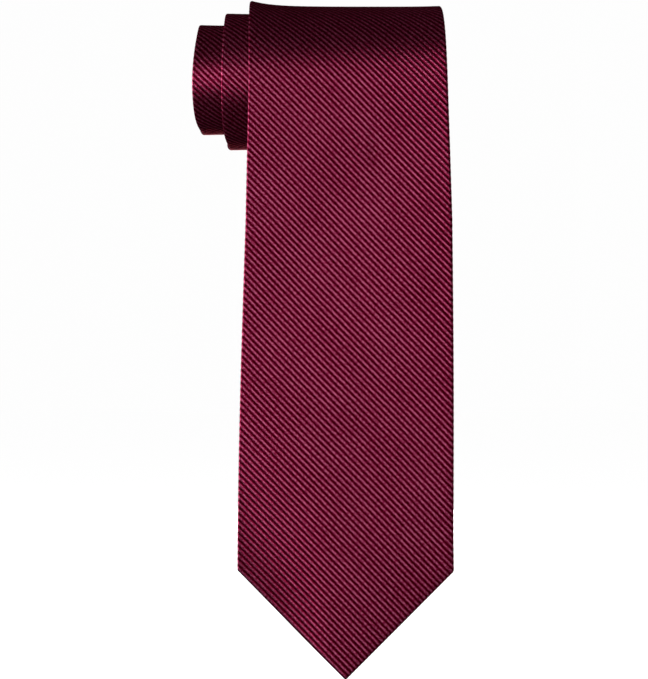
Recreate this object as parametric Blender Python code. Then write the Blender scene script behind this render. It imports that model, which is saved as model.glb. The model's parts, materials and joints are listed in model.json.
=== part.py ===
"""A rolled necktie, hanging blade down from its own roll.

The tie is one long strip, folded round an interlining and closed by a slip-stitched seam down its back. It is wound
up from its narrow end, and the wide blade hangs straight down from the front of the roll. Every sub-part is lofted
along the same strip path, from the blade's tip to the end of the tail, so that all layers nest inside each other.

Frame: metres, +Z up, the tie's face towards -Y. The origin is the middle of the roll's rearmost flat, which is where
a display board or a pin holds it.
"""

import math

import bmesh
import bpy
import numpy as np
from mathutils import Matrix, Vector

MM = 0.001

# Outline of the made-up tie, as widths at distances from the blade's tip.
TIE_LENGTH = 1450 * MM
BLADE_WIDTH = 95.5 * MM
TAIL_WIDTH = 49 * MM
NECK_WIDTH = 34 * MM
BLUNT_TIP = 2.4 * MM
HALF_WIDTHS = (  # (distance from the blade's tip, half width), read as one smooth curve
    (BLADE_WIDTH / 2, BLADE_WIDTH / 2),
    (130 * MM, 47.2 * MM),
    (195 * MM, 46.0 * MM),
    (264 * MM, 43.9 * MM),
    (330 * MM, 43.0 * MM),
    (800 * MM, 18.5 * MM),
    (980 * MM, NECK_WIDTH / 2),
    (TIE_LENGTH - TAIL_WIDTH / 2, TAIL_WIDTH / 2),
)

# The strip path: straight blade, then a spiral that is loose outside and tight inside.
HANGING = 264.4 * MM  # from the tip to the line where the blade leaves the roll
ROLL_RADIUS = 34.85 * MM  # the face's radius at that line
DEPTH_RATIO = 1.08  # the roll is this much deeper than it is tall
LOOSE_PITCH = 5.8 * MM
TIGHT_PITCH = 2.15 * MM
LEAVE_ANGLE = math.radians(45)  # the pitch grows from 0 over this angle, so that the blade leaves tangentially
TIGHT_ANGLE = math.radians(760)
MIDDLE_LEFT_EDGE = -54.8 * MM
INNER_LEFT_EDGE = -67.3 * MM
SHIFT_START = math.radians(110)  # each turn steps sideways behind the roll, from here
SHIFT_END = math.radians(250)
TURN = 2 * math.pi

# The layers, as depths below the face.
SHELL = 0.35 * MM
CLEAR = 0.3 * MM
INTERLINING = 0.5 * MM
THICKNESS = 2 * SHELL + 2 * CLEAR + INTERLINING
FOLD = 0.6 * MM  # size of the chamfer that stands for the rolled edge
SLOT = 0.75 * MM  # half the slot where the two back flaps meet
THREAD = 0.3 * MM  # half the slip-stitch thread's width

# Where the strip is divided.
TIP_HINGE = 118 * MM
TIP_HINGE_GAP = 1.5 * MM
MIDDLE_START = math.radians(200)
INNER_START = math.radians(560)
CUT_GAP = 0.4 * MM
NECK_SEAM = 800 * MM
TAIL_SEAM = 1130 * MM

# The openings at the back of both ends, which the tippings fill.
HEM = 14.1 * MM  # along the strip, so 10 mm square to the 45 degree edge
BLADE_FLAPS_MEET = 112 * MM
TAIL_FLAPS_MEET = TIE_LENGTH - 72 * MM
FLAP_SLOPE = 0.58  # how fast the flaps' diagonal edges close

# What is sewn on the blade's back, as distances from the tip.
KEEPER_AT = 214 * MM
KEEPER_HEIGHT = 12 * MM
KEEPER_HALF = 20 * MM
KEEPER_END = 4.5 * MM
KEEPER_BOW = 1.0 * MM
LABEL_BOTTOM, LABEL_TOP, LABEL_HALF = 160 * MM, 182 * MM, 31 * MM
CARE_TOP, CARE_BOTTOM, CARE_LEFT, CARE_RIGHT = 157 * MM, 134 * MM, 6 * MM, 26 * MM
CLOTH_LABEL = 0.3 * MM
TACK = 0.5 * MM

OUTER_STEP = math.radians(20)
INNER_STEP = math.radians(24)


def smooth(t):
    """0 below 0, 1 above 1, and a smooth step between."""
    t = np.clip(t, 0, 1)
    return t * t * (3 - 2 * t)


def spiral():
    """Arrays of turning angle, distance along the strip, and the face's depth and height from the roll's axis."""
    angle = np.linspace(0, 13 * TURN, 60001)
    pitch = LOOSE_PITCH * np.clip(angle / LEAVE_ANGLE, 0, 1)
    pitch = np.where(angle < TIGHT_ANGLE, pitch, TIGHT_PITCH)
    pitch = np.where(np.abs(angle - math.pi) < 0.6 * OUTER_STEP, 0, pitch)  # keeps the rearmost flat upright
    step = angle[1] - angle[0]
    radius = ROLL_RADIUS - np.concatenate([[0], np.cumsum(pitch[:-1] * step / TURN)])
    wound = radius > 1 * MM
    angle, radius = angle[wound], radius[wound]
    depth = -DEPTH_RATIO * radius * np.cos(angle)
    height = radius * np.sin(angle)
    length = np.concatenate([[0], np.cumsum(np.hypot(np.diff(depth), np.diff(height)))])
    return angle, HANGING + length, depth, height


ANGLE, ALONG, DEPTH, HEIGHT = spiral()
# The rearmost flat lies between the stations half a step before and after 180 degrees.
FLAT_ANGLES = (math.pi - OUTER_STEP / 2, math.pi + OUTER_STEP / 2)
AXIS_DEPTH = -sum(float(np.interp(a, ANGLE, DEPTH)) for a in FLAT_ANGLES) / 2
AXIS_HEIGHT = -sum(float(np.interp(a, ANGLE, HEIGHT)) for a in FLAT_ANGLES) / 2


def distance_at(angle):
    """Distance from the tip where the strip has turned by this angle."""
    return float(np.interp(angle, ANGLE, ALONG))


def half_width(s):
    """Half the made-up tie's width at distance s from the blade's tip."""
    ends = min(s + BLUNT_TIP, TIE_LENGTH - s + BLUNT_TIP)
    at, half = zip(*HALF_WIDTHS)
    slopes = np.gradient(half, at)
    i = int(np.clip(np.searchsorted(at, s) - 1, 0, len(at) - 2))
    span = at[i + 1] - at[i]
    t = min(max((s - at[i]) / span, 0), 1)
    h00, h10 = 2 * t**3 - 3 * t**2 + 1, t**3 - 2 * t**2 + t
    h01, h11 = 3 * t**2 - 2 * t**3, t**3 - t**2
    body = h00 * half[i] + h10 * span * slopes[i] + h01 * half[i + 1] + h11 * span * slopes[i + 1]
    return min(ends, body)


def flap_edge(s):
    """Distance of each back flap's inner edge from the middle: the slot, or the opening that a tipping fills."""
    from_tip, from_tail = s, TIE_LENGTH - s
    blade = min(from_tip - HEM, (BLADE_FLAPS_MEET - s) * FLAP_SLOPE)
    tail = min(from_tail - HEM, (s - TAIL_FLAPS_MEET) * FLAP_SLOPE)
    return max(SLOT, blade, tail)


def middle(s):
    """Sideways place of the strip's middle: each turn is drawn out to the left of the one outside it."""
    if s <= HANGING:
        return 0.0
    angle = float(np.interp(s, ALONG, ANGLE))
    first = smooth((angle - SHIFT_START) / (SHIFT_END - SHIFT_START))
    second = smooth((angle - TURN - SHIFT_START) / (SHIFT_END - SHIFT_START))
    left = MIDDLE_LEFT_EDGE + second * (INNER_LEFT_EDGE - MIDDLE_LEFT_EDGE)
    return float(first * (left + half_width(s)))


def place(s, across, below):
    """A point of the tie: s from the tip, across from the strip's middle, and below its face."""
    if s <= HANGING:
        spot, along = (float(DEPTH[0]), s - HANGING), (0.0, 1.0)
    else:
        spot = (float(np.interp(s, ALONG, DEPTH)), float(np.interp(s, ALONG, HEIGHT)))
        ahead = (np.interp(s + 0.1 * MM, ALONG, DEPTH), np.interp(s + 0.1 * MM, ALONG, HEIGHT))
        along = ((ahead[0] - spot[0]) / (0.1 * MM), (ahead[1] - spot[1]) / (0.1 * MM))
        size = math.hypot(*along)
        along = (along[0] / size, along[1] / size)
    outward = (-along[1], along[0])
    return Vector((
        middle(s) + across,
        AXIS_DEPTH + spot[0] - below * outward[0],
        AXIS_HEIGHT + spot[1] - below * outward[1],
    ))


def stations(start, end):
    """Distances along the strip from start to end, with a station at every corner of the folded shape."""
    corners = [HEM + SLOT, HEM + 36 * MM, BLADE_FLAPS_MEET - SLOT / FLAP_SLOPE]
    corners += [TIE_LENGTH - HEM - SLOT, TIE_LENGTH - HEM - 15 * MM, TAIL_FLAPS_MEET + SLOT / FLAP_SLOPE]
    corners += [BLADE_WIDTH / 2 - BLUNT_TIP, 160 * MM, 230 * MM]
    for seam in (NECK_SEAM, TAIL_SEAM):
        corners += [seam - CUT_GAP / 2, seam + CUT_GAP / 2]
    angle = OUTER_STEP / 2
    while angle < 2 * TURN:
        corners.append(distance_at(angle))
        angle += OUTER_STEP
    while angle < ANGLE[-1]:
        corners.append(distance_at(angle))
        angle += INNER_STEP
    inside = sorted(c for c in corners if start + 1 * MM < c < end - 1 * MM)
    return [start, *inside, end]


def material(name, colour, roughness):
    """A cloth or thread material."""
    made = bpy.data.materials.get(name) or bpy.data.materials.new(name)
    made.use_nodes = True
    shader = made.node_tree.nodes["Principled BSDF"]
    shader.inputs["Base Color"].default_value = (*colour, 1)
    shader.inputs["Roughness"].default_value = roughness
    shader.inputs["Metallic"].default_value = 0.0
    return made


MAROON = ("maroon_repp", (0.138, 0.014, 0.034), 0.42)
LINING = ("interlining_felt", (0.72, 0.68, 0.60), 0.95)
TIPPING = ("tipping_satin", (0.085, 0.008, 0.020), 0.35)
STITCH = ("maroon_thread", (0.16, 0.018, 0.040), 0.6)
LABEL = ("label_satin", (0.025, 0.022, 0.024), 0.4)
CARE = ("care_ribbon", (0.80, 0.79, 0.77), 0.5)


def loft(name, rings, look):
    """Makes one closed object from rings of points that have the same number of points each."""
    mesh = bpy.data.meshes.new(name)
    shape = bmesh.new()
    made = [[shape.verts.new(p) for p in ring] for ring in rings]
    count = len(made[0])
    for near, far in zip(made, made[1:]):
        for i in range(count):
            j = (i + 1) % count
            shape.faces.new((near[i], near[j], far[j], far[i]))
    shape.faces.new(made[0][::-1])
    shape.faces.new(made[-1])
    bmesh.ops.recalc_face_normals(shape, faces=shape.faces)
    shape.to_mesh(mesh)
    shape.free()
    mesh.shade_smooth()
    mesh.set_sharp_from_angle(angle=math.radians(35))
    mesh.materials.append(material(*look))
    made_object = bpy.data.objects.new(name, mesh)
    bpy.context.scene.collection.objects.link(made_object)
    return made_object


def gather(name, pivot, pieces):
    """Puts an empty on a body's joint axis and hangs the body's pieces on it, where they already are."""
    empty = bpy.data.objects.new(name, None)
    empty.empty_display_size = 10 * MM
    empty.location = pivot
    bpy.context.scene.collection.objects.link(empty)
    for piece in pieces:
        piece.data.transform(Matrix.Translation(-pivot))
        piece.parent = empty


def shell_ring(s):
    """Section of the folded cloth: face, both rolled edges and both back flaps, with its inside."""
    half, edge = half_width(s), flap_edge(s)
    edge = min(edge, half - FOLD - 0.4 * MM)
    back = THICKNESS
    outside = [
        (edge, back),
        (half - FOLD, back),
        (half, back - FOLD),
        (half, FOLD),
        (half - FOLD, 0),
    ]
    inside = [
        (half - FOLD, SHELL),
        (half - SHELL, FOLD),
        (half - SHELL, back - FOLD),
        (half - FOLD, back - SHELL),
        (edge, back - SHELL),
    ]
    right_out, right_in = outside, inside
    left_out = [(-x, h) for x, h in reversed(outside)]
    left_in = [(-x, h) for x, h in reversed(inside)]
    # From the right flap's inner edge over the face to the left flap, and back along the inside.
    return [place(s, x, h) for x, h in right_out + left_out + left_in + right_in]


def shell(name, start, end):
    """A stretch of the outer cloth, cut on the bias and folded round the interlining."""
    return loft(name, [shell_ring(s) for s in stations(start, end)], MAROON)


def band(name, start, end, half_of, top, bottom, look):
    """A flat layer from top to bottom below the face, with half its width given by half_of(s)."""
    rings = []
    for s in stations(start, end):
        half = half_of(s)
        corners = ((half, top), (-half, top), (-half, bottom), (half, bottom))
        rings.append([place(s, x, h) for x, h in corners])
    return loft(name, rings, look)


def interlining(name, start, end):
    """A stretch of the felt that gives the tie its body."""
    top = SHELL + CLEAR
    return band(name, start, end, lambda s: half_width(s) - FOLD - CLEAR, top, top + INTERLINING, LINING)


def slip_stitch(name, start, end):
    """A stretch of the one long thread that closes the back seam."""
    return band(name, start, end, lambda s: THREAD, THICKNESS - SHELL, THICKNESS, STITCH)


def tipping(name, start, end):
    """The lining that fills the opening at the back of an end."""
    top = THICKNESS - SHELL
    return band(name, start, end, lambda s: flap_edge(s) - 0.35 * MM, top, top + 0.25 * MM, TIPPING)


def slab(name, left, right, low, high, top, bottom, look):
    """A flat rectangular piece on the blade's back."""
    rings = []
    for s in (low, high):
        corners = ((right, top), (left, top), (left, bottom), (right, bottom))
        rings.append([place(s, x, h) for x, h in corners])
    return loft(name, rings, look)


def keeper_loop():
    """The middle of the keeper, a cloth band that stands a little off the back so that the tail can pass."""
    low, high = KEEPER_AT - KEEPER_HEIGHT / 2, KEEPER_AT + KEEPER_HEIGHT / 2
    near, far = THICKNESS + CLEAR, THICKNESS + CLEAR + KEEPER_BOW
    shoulder = KEEPER_HALF - 4 * MM
    line = [(-KEEPER_HALF, near), (-shoulder, far), (shoulder, far), (KEEPER_HALF, near)]
    section = line + [(x, h + TACK) for x, h in reversed(line)]
    rings = [[place(s, x, h) for x, h in section] for s in (low, high)]
    return loft("keeper_loop", rings, MAROON)


def keeper_fixings():
    """The sewn-down ends of the keeper, and the bar tack through each."""
    low, high = KEEPER_AT - KEEPER_HEIGHT / 2, KEEPER_AT + KEEPER_HEIGHT / 2
    near = THICKNESS + CLEAR
    top = near + TACK + CLEAR
    start = KEEPER_HALF + 0.4 * MM
    made = []
    for side, sign in (("left", -1), ("right", 1)):
        left, right = sorted((sign * start, sign * (start + KEEPER_END)))
        made.append(slab(f"keeper_{side}_end", left, right, low, high, near, near + TACK, MAROON))
        left, right = sorted((sign * (start + 1.4 * MM), sign * (start + 3.2 * MM)))
        made.append(slab(f"keeper_{side}_tack", left, right, low + 1 * MM, high - 1 * MM, top, top + TACK, STITCH))
    return made


def slack_loop():
    """The spare thread left at the start of the slip stitch, which lets the tie stretch and recover."""
    curve = bpy.data.curves.new("slack_loop", "CURVE")
    curve.dimensions = "3D"
    curve.bevel_depth = 0.25 * MM
    curve.bevel_resolution = 1
    curve.use_fill_caps = True
    spline = curve.splines.new("POLY")
    count = 15
    spline.points.add(count - 1)
    for i in range(count):
        turn = math.pi * (0.5 + 0.12 + 1.76 * i / (count - 1))
        across = 2.6 * MM * math.cos(turn)
        s = 105 * MM + 5.5 * MM * math.sin(turn)
        spline.points[i].co = (*place(s, across, THICKNESS + 2 * CLEAR), 1)
    curve.materials.append(material(*STITCH))
    made = bpy.data.objects.new("slack_loop", curve)
    bpy.context.scene.collection.objects.link(made)
    return made


def tip_body():
    """The blade's pointed end, which folds up over the face."""
    end = TIP_HINGE - TIP_HINGE_GAP / 2
    near = THICKNESS + CLEAR
    return [
        shell("tip_shell", 0, end),
        interlining("tip_interlining", 1.5 * MM, end),
        tipping("blade_tipping", HEM + SLOT + 1 * MM, BLADE_FLAPS_MEET - SLOT / FLAP_SLOPE - 2 * MM),
        slab("blade_bar_tack", -4 * MM, 4 * MM, 112.5 * MM, 114.7 * MM, near, near + TACK, STITCH),
        slack_loop(),
    ]


def blade_body():
    """The hanging blade, from the tip's fold up to the roll, with what is sewn on its back."""
    start, end = TIP_HINGE + TIP_HINGE_GAP / 2, HANGING - CUT_GAP / 2
    near = THICKNESS + CLEAR
    return [
        shell("blade_shell", start, end),
        interlining("blade_interlining", start, end),
        slip_stitch("blade_slip_stitch", start, end),
        slab("maker_label", -LABEL_HALF, LABEL_HALF, LABEL_BOTTOM, LABEL_TOP, near, near + CLOTH_LABEL, LABEL),
        keeper_loop(),
        *keeper_fixings(),
    ]


def care_label():
    """The small ribbon label, sewn down along its top edge only."""
    near = THICKNESS + CLEAR
    return slab("care_label", CARE_LEFT, CARE_RIGHT, CARE_BOTTOM, CARE_TOP, near, near + CLOTH_LABEL, CARE)


def turn_body(name, start, end):
    """One loose turn of the roll."""
    return [
        shell(f"{name}_shell", start, end),
        interlining(f"{name}_interlining", start, end),
        slip_stitch(f"{name}_slip_stitch", start, end),
    ]


def core_body(start):
    """The innermost visible turn and the tightly wound rest: end of the blade panel, neck panel and tail panel."""
    gap = CUT_GAP / 2
    stitch_end = TAIL_FLAPS_MEET - 6 * MM
    half_tack = THREAD + 0.1 * MM
    return [
        shell("inner_turn_shell", start, NECK_SEAM - gap),
        shell("neck_shell", NECK_SEAM + gap, TAIL_SEAM - gap),
        shell("tail_shell", TAIL_SEAM + gap, TIE_LENGTH),
        interlining("core_interlining", start, TIE_LENGTH - 1.5 * MM),
        slip_stitch("core_slip_stitch", start, stitch_end - CUT_GAP),
        band("tail_bar_tack", stitch_end, TAIL_FLAPS_MEET - 2 * MM, lambda s: half_tack, THICKNESS - SHELL,
             THICKNESS, STITCH),
        tipping("tail_tipping", TAIL_FLAPS_MEET + SLOT / FLAP_SLOPE + 2 * MM, TIE_LENGTH - HEM - SLOT - 1 * MM),
    ]


def main():
    """Builds every sub-part, from the blade's tip to the end of the tail, and hangs each body on its joint."""
    for old in list(bpy.data.objects):
        bpy.data.objects.remove(old)
    gap = CUT_GAP / 2
    middle_start, inner_start = distance_at(MIDDLE_START), distance_at(INNER_START)
    gather("tip", place(TIP_HINGE, 0, 0), tip_body())
    gather("blade", place(HANGING, 0, 0), blade_body())
    label_edge = place(CARE_TOP, (CARE_LEFT + CARE_RIGHT) / 2, THICKNESS + CLEAR)
    gather("care_label_edge", label_edge, [care_label()])
    roll_axis = Vector((0, AXIS_DEPTH, AXIS_HEIGHT))
    gather("roll", roll_axis, turn_body("outer_turn", HANGING + gap, middle_start - gap))
    gather("middle_turn", roll_axis, turn_body("middle_turn", middle_start + gap, inner_start - gap))
    gather("core", roll_axis, core_body(inner_start + gap))


main()
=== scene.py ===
"""The looks of a rolled repp necktie: folded bias cloth, interlining, tipping, labels and stitches."""

import json
import logging
import math
from dataclasses import dataclass, field
from enum import Enum

import bmesh
import bpy
import numpy as np
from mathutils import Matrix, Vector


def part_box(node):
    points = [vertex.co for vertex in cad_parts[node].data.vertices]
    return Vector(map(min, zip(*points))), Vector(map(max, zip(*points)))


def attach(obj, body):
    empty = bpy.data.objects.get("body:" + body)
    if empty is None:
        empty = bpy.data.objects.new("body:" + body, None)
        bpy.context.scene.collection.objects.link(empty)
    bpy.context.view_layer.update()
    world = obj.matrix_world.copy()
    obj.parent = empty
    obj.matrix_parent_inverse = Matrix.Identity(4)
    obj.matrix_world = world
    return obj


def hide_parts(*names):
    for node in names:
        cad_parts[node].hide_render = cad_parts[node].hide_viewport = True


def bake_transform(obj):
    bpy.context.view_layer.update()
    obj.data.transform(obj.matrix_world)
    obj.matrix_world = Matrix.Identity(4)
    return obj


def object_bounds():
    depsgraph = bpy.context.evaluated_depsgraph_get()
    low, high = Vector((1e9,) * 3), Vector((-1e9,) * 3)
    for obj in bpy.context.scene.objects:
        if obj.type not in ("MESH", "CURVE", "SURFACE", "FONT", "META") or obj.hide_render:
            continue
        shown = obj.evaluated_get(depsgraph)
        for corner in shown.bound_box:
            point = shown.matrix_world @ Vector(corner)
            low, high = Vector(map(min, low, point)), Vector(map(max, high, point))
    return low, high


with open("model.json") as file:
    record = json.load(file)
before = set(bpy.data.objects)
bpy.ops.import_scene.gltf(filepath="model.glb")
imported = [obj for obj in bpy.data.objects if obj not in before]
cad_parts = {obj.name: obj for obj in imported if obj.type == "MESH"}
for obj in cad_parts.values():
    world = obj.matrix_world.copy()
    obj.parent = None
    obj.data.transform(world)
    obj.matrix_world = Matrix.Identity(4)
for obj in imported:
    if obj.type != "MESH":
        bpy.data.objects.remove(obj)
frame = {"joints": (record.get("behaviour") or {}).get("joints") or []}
CAD_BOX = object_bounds()

LOG = logging.getLogger("necktie")
MM = 0.001
TURN = 2 * math.pi
ROOT2 = math.sqrt(2)
Array = np.ndarray
JOINTS = {joint["name"]: joint for joint in frame["joints"]}
BLADE_FACE_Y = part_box("blade_shell")[0].y
ROLL_AXIS_Z = JOINTS["blade_lift"]["pos_m"][2]


# ---------------------------------------------------------------- materials


def linear(colour: str) -> tuple[float, float, float, float]:
    """Turns an sRGB hex colour to linear light.

    Args:
        colour: Six hex digits.

    Returns:
        Red, green, blue and an alpha of 1.
    """
    parts = [int(colour[i : i + 2], 16) / 255 for i in (0, 2, 4)]
    made = [c / 12.92 if c <= 0.04045 else ((c + 0.055) / 1.055) ** 2.4 for c in parts]
    return (*made, 1.0)


def add(
    tree: bpy.types.NodeTree, kind: str, settings: dict | None = None, **inputs: object
) -> bpy.types.Node:
    """Adds a node with its settings, input values and links.

    Args:
        tree: The material's node tree.
        kind: The node's type, without the ShaderNode in front.
        settings: Properties to set on the node.
        inputs: Input values or source sockets, by the input's name, or by in0, in1 for its place.

    Returns:
        The new node.
    """
    node = tree.nodes.new("ShaderNode" + kind)
    for name, value in (settings or {}).items():
        setattr(node, name, value)
    for name, value in inputs.items():
        numbered = name[:2] == "in" and name[2:].isdigit()
        socket = node.inputs[int(name[2:])] if numbered else node.inputs[name]
        if isinstance(value, bpy.types.NodeSocket):
            tree.links.new(value, socket)
        else:
            socket.default_value = value
    return node


def blank(name: str) -> tuple[bpy.types.Material, bpy.types.NodeTree, bpy.types.Node]:
    """Makes a material and finds its shader.

    Args:
        name: The material's name.

    Returns:
        The material, its node tree and its Principled BSDF.
    """
    made = bpy.data.materials.new(name)
    made.use_nodes = True
    return made, made.node_tree, made.node_tree.nodes["Principled BSDF"]


@dataclass(frozen=True)
class ReppWeave:
    """Maroon repp: a warp-faced weave whose thick weft makes rounded ribs, dyed in one colour."""

    # To the eye: pink-maroon crests whose gloss takes the cloth's own colour, dark valleys between them,
    # ribs that waver a little, and a fine speckle where single threads catch the light.
    pitch: float = 2.06 * MM
    relief: float = 0.3 * MM
    # Painted shade and highlight: the valley colour darkens the rib valleys and the crest colour lightens the
    # crests, as the frontal light does; the dye itself is one maroon.
    valley: str = "40000b"
    flank: str = "7d0a30"
    crest: str = "9c2c52"
    # Painted glint: the lightest colour, where single threads catch the light.
    painted_glint: str = "c96085"
    rim: str = "c45573"
    stops: tuple = (0.28, 0.54, 0.8, 1.0)
    gloss: float = 0.78
    specular: float = 0.05
    smoothest: float = 0.3
    roughest: float = 0.46
    waver: float = 0.32
    waver_across: float = 21 * MM
    waver_along: float = 37 * MM
    yarn: float = 0.5 * MM  # real threads are 0.3 mm; drawn coarser, so that they show
    yarn_stretch: float = 0.45
    yarn_relief: float = 0.12 * MM
    cloud: float = 26 * MM

    def height(self, p: Array, q: Array) -> Array:
        """Height of the ribs at a place in the flat cloth.

        Args:
            p: Across the flat cloth, in metres.
            q: Along the flat cloth, in metres.

        Returns:
            Heights from 0, in a valley, to relief, on a crest.
        """
        waver = self.waver * np.sin(p / self.waver_across - q / self.waver_along)
        return self.relief * np.abs(np.sin(math.pi * (p + q) / ROOT2 / self.pitch + waver))

    def rib(self, tree: bpy.types.NodeTree, place: bpy.types.NodeSocket) -> bpy.types.NodeSocket:
        """Adds the nodes that say how near a place is to a rib's crest, in step with the modelled ribs.

        Args:
            tree: The material's node tree.
            place: The place in the flat cloth.

        Returns:
            A value from 0, in a valley, to 1, on a crest.
        """
        parts = add(tree, "SeparateXYZ", Vector=place)
        p, q = parts.outputs[0], parts.outputs[1]
        total = add(tree, "Math", {"operation": "ADD"}, in0=p, in1=q).outputs[0]
        per_metre = math.pi / ROOT2 / self.pitch
        across = add(tree, "Math", {"operation": "MULTIPLY"}, in0=total, in1=per_metre).outputs[0]
        drift = add(tree, "Math", {"operation": "MULTIPLY"}, in0=p, in1=1 / self.waver_across).outputs[0]
        add_up = {"operation": "MULTIPLY_ADD"}
        drift = add(tree, "Math", add_up, in0=q, in1=-1 / self.waver_along, in2=drift).outputs[0]
        drift = add(tree, "Math", {"operation": "SINE"}, in0=drift).outputs[0]
        phase = add(tree, "Math", add_up, in0=drift, in1=self.waver, in2=across).outputs[0]
        wave = add(tree, "Math", {"operation": "SINE"}, in0=phase).outputs[0]
        return add(tree, "Math", {"operation": "ABSOLUTE"}, in0=wave).outputs[0]

    def make(self) -> bpy.types.Material:
        """Makes the material."""
        made, tree, shader = blank("maroon_repp_weave")
        add_up = {"operation": "MULTIPLY_ADD"}
        place = add(tree, "UVMap", {"uv_map": "cloth"}).outputs[0]
        rib = add(tree, "Math", {"operation": "POWER"}, in0=self.rib(tree, place), in1=1.5).outputs[0]
        slant = (0, 0, math.radians(45))
        turned = add(tree, "Mapping", {"vector_type": "POINT"}, Vector=place, Rotation=slant).outputs[0]
        long_ways = add(tree, "Mapping", Vector=turned, Scale=(self.yarn_stretch, 1.0, 1.0)).outputs[0]
        yarn = add(tree, "TexNoise", Vector=long_ways, Scale=1 / self.yarn, Detail=2.0, Roughness=0.6)
        yarn = yarn.outputs[0]
        cloud = add(tree, "TexNoise", Vector=place, Scale=1 / self.cloud, Detail=2.0).outputs[0]
        # The ramp paints shade into the rib valleys, a highlight on the crests and glints where the yarn
        # noise is high; the yarn and cloud noise also vary the tone at random.
        body = add(tree, "Math", add_up, in0=rib, in1=0.72, in2=-0.61).outputs[0]
        mixed = add(tree, "Math", add_up, in0=yarn, in1=1.5, in2=body).outputs[0]
        shaded = add(tree, "Math", add_up, in0=cloud, in1=0.14, in2=mixed).outputs[0]
        ramp = add(tree, "ValToRGB", in0=shaded)
        elements = ramp.color_ramp.elements
        elements[0].position, elements[0].color = self.stops[0], linear(self.valley)
        elements[1].position, elements[1].color = self.stops[3], linear(self.painted_glint)
        elements.new(self.stops[1]).color = linear(self.flank)
        elements.new(self.stops[2]).color = linear(self.crest)
        tree.links.new(ramp.outputs[0], shader.inputs["Base Color"])
        rough = add(tree, "MapRange", in0=yarn, in1=0.3, in2=0.7, in3=self.smoothest, in4=self.roughest)
        tree.links.new(rough.outputs[0], shader.inputs["Roughness"])
        bump = add(tree, "Bump", Height=yarn, Distance=self.yarn_relief, Strength=0.8)
        tree.links.new(bump.outputs[0], shader.inputs["Normal"])
        shader.inputs["Metallic"].default_value = self.gloss
        shader.inputs["Specular Tint"].default_value = linear(self.rim)
        shader.inputs["Specular IOR Level"].default_value = self.specular
        return made


@dataclass(frozen=True)
class WovenRibbon:
    """A smooth woven ribbon or lining: fine crossing threads with a soft satin gloss."""

    # To the eye: an even surface with a faint grid of threads, slightly cloudy, and a broad soft shine.
    name: str
    light: str
    dark: str
    thread: float = 0.5 * MM  # real threads are 0.1 mm; drawn coarser, so that they show
    cloud: float = 6 * MM
    roughness: float = 0.38
    gloss: float = 0.0

    def make(self) -> bpy.types.Material:
        """Makes the material."""
        made, tree, shader = blank(self.name)
        place = add(tree, "UVMap", {"uv_map": "cloth"}).outputs[0]
        waves = []
        for turn in ("X", "Y"):
            settings = {"wave_type": "BANDS", "bands_direction": turn, "wave_profile": "SIN"}
            scale = TURN / 20 / self.thread
            wave = add(tree, "TexWave", settings, Vector=place, Scale=scale, Distortion=0.6)
            waves.append(wave.outputs["Fac"])
        weave = add(tree, "Math", {"operation": "MULTIPLY"}, in0=waves[0], in1=waves[1]).outputs[0]
        cloud = add(tree, "TexNoise", Vector=place, Scale=1 / self.cloud, Detail=3.0).outputs[0]
        fac = add(tree, "Math", {"operation": "MULTIPLY_ADD"}, in0=weave, in1=0.6, in2=cloud).outputs[0]
        ramp = add(tree, "ValToRGB", in0=fac)
        ramp.color_ramp.elements[0].position, ramp.color_ramp.elements[0].color = 0.25, linear(self.dark)
        ramp.color_ramp.elements[1].position, ramp.color_ramp.elements[1].color = 0.95, linear(self.light)
        tree.links.new(ramp.outputs[0], shader.inputs["Base Color"])
        bump = add(tree, "Bump", Height=weave, Distance=self.thread / 10, Strength=0.6)
        tree.links.new(bump.outputs[0], shader.inputs["Normal"])
        shader.inputs["Roughness"].default_value = self.roughness
        shader.inputs["Metallic"].default_value = self.gloss
        shader.inputs["Specular IOR Level"].default_value = 0.2
        return made


@dataclass(frozen=True)
class TwistedThread:
    """Plied sewing thread: a matt cord with its twist just showing."""

    # To the eye: slanted light and dark turns along a thin line, with no shine.
    name: str
    light: str
    dark: str
    twist: float = 0.8 * MM

    def make(self) -> bpy.types.Material:
        """Makes the material."""
        made, tree, shader = blank(self.name)
        place = add(tree, "TexCoord").outputs["Object"]
        settings = {"wave_type": "BANDS", "bands_direction": "DIAGONAL"}
        scale = TURN / 20 / self.twist
        wave = add(tree, "TexWave", settings, Vector=place, Scale=scale, Distortion=1.0).outputs["Fac"]
        ramp = add(tree, "ValToRGB", in0=wave)
        ramp.color_ramp.elements[0].color = linear(self.dark)
        ramp.color_ramp.elements[1].color = linear(self.light)
        tree.links.new(ramp.outputs[0], shader.inputs["Base Color"])
        bump = add(tree, "Bump", Height=wave, Distance=self.twist / 10, Strength=0.7)
        tree.links.new(bump.outputs[0], shader.inputs["Normal"])
        shader.inputs["Roughness"].default_value = 0.6
        shader.inputs["Specular IOR Level"].default_value = 0.15
        return made


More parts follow.
